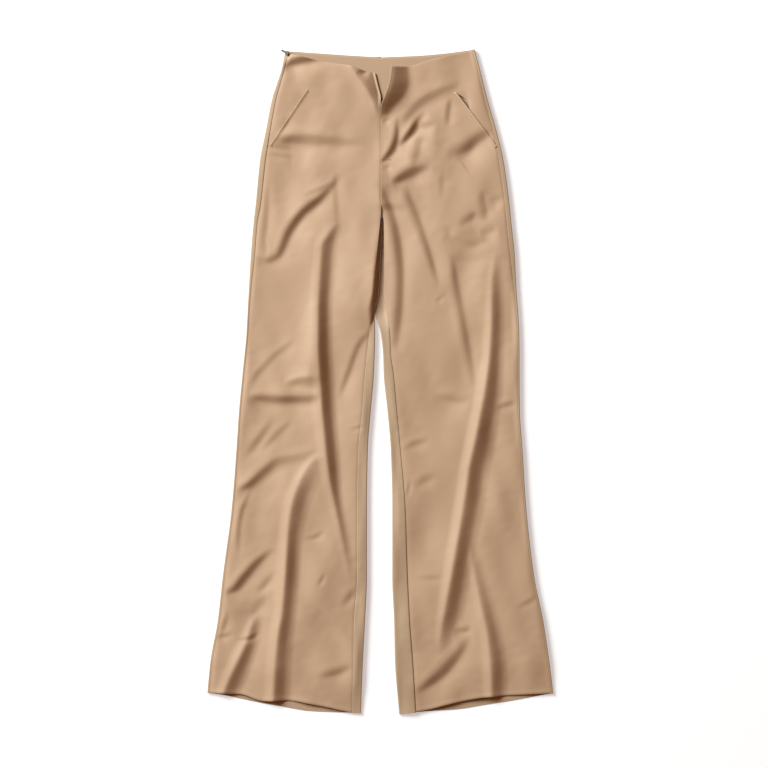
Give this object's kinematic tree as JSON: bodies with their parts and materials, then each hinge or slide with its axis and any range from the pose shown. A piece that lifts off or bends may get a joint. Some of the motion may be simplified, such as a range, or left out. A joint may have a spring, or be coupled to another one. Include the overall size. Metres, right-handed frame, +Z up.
{
  "type": "palazzo trousers laid flat",
  "caption": "Wide-leg crepe trousers laid flat front side up, open fly notch, slash pockets, turned hems and an invisible side zip with a pull tab.",
  "frame": {"origin": "middle of the trousers' bounding box in plan, on the surface that they rest on", "axes": "+Y from the hems to the waist, +Z up out of the front of the trousers, +X to the wearer's left"},
  "size_m": [0.57, 1.0959, 0.0212],
  "materials": {
    "crepe": "soft satin-backed crepe, tan, with a low sheen",
    "facing": "the same crepe seen from its turned or inner side",
    "zip_tape": "woven zip tape, brown",
    "zip_metal": "dark grey enamelled metal"
  },
  "bodies": {
    "root": {"front_right": "crepe", "front_left": "crepe", "back_right": "crepe", "back_left": "crepe", "waist_facing_back": "facing", "fly_turning_right": "facing", "fly_turning_left": "facing", "pocket_welt_right": "crepe", "pocket_welt_left": "crepe", "pocket_facing_right": "facing", "pocket_facing_left": "facing", "side_zip_tape": "zip_tape", "zip_slider": "zip_metal"},
    "pull": {"zip_pull": "zip_metal"}
  },
  "joints": [
    {"name": "zip_pull_hinge", "type": "hinge", "parent": "root", "child": "pull", "pos_m": [-0.1515, 0.5403, 0.0114], "axis": [0.5, 0.866, 0], "range_deg": [0, 168]}
  ]
}
